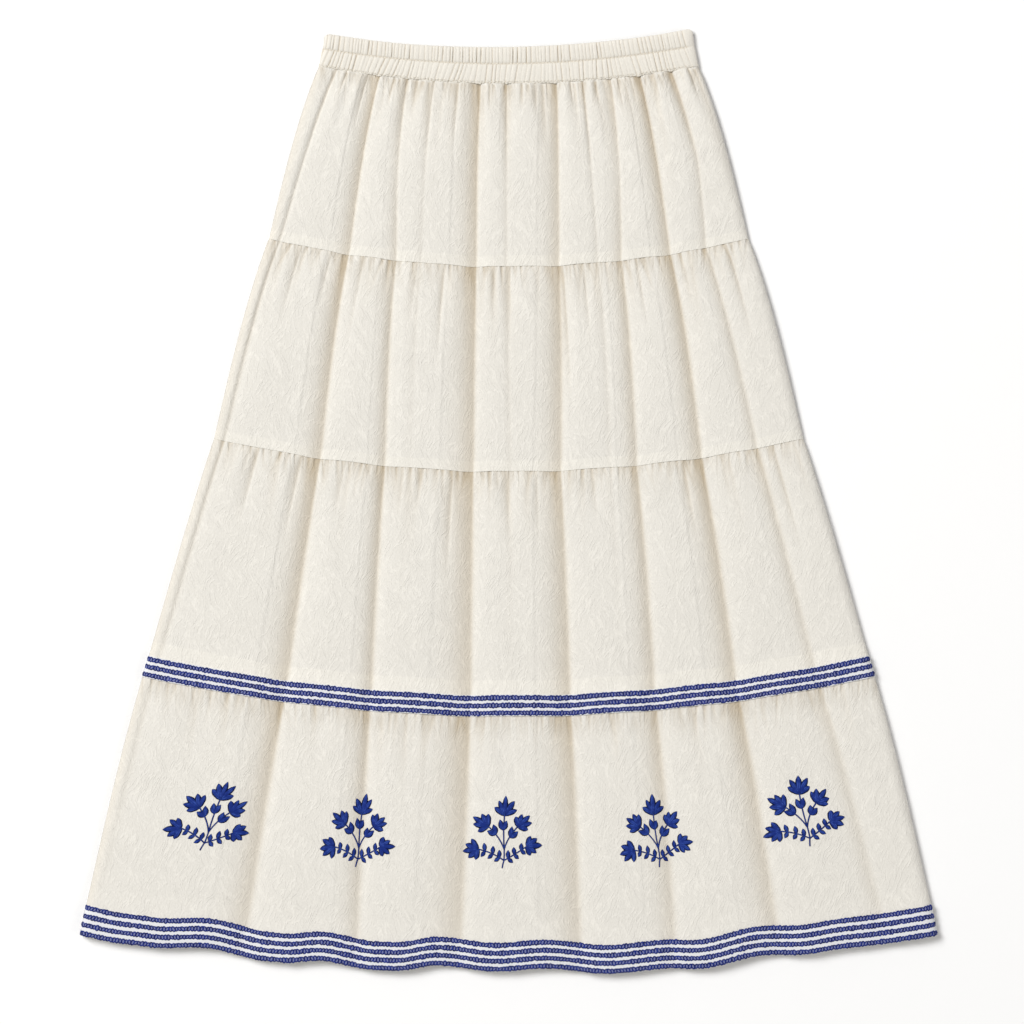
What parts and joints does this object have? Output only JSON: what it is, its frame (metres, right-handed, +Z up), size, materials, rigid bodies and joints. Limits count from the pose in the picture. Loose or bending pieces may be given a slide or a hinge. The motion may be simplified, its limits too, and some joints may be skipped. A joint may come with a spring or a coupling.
{
  "type": "tiered midi skirt, laid flat",
  "caption": "Ivory cotton midi skirt laid flat, with a gathered elastic waistband, gathered tiers, blue braid trims and embroidered blue flower sprigs above the hem.",
  "frame": {"origin": "on the surface that the skirt lies on, below the middle of its box", "axes": "+Y from the hem to the waist, +X to the right in the picture, +Z up off the surface, out of the front"},
  "size_m": [0.7568, 0.8299, 0.0114],
  "materials": {
    "gathered_cotton": "matt light ivory cotton, gathered over elastic",
    "cotton": "matt light ivory crinkled cotton",
    "blue_braid": "matt cotton braid in blue and white rows"
  },
  "bodies": {
    "root": {"waistband_front": "gathered_cotton", "waistband_back": "gathered_cotton", "tier_1_front": "cotton", "tier_1_back": "cotton", "tier_2_front": "cotton", "tier_2_back": "cotton", "tier_3_front": "cotton", "tier_3_back": "cotton", "tier_4_front": "cotton", "tier_4_back": "cotton", "trim_upper_front": "blue_braid", "trim_upper_back": "blue_braid", "trim_hem_front": "blue_braid", "trim_hem_back": "blue_braid"}
  },
  "joints": []
}
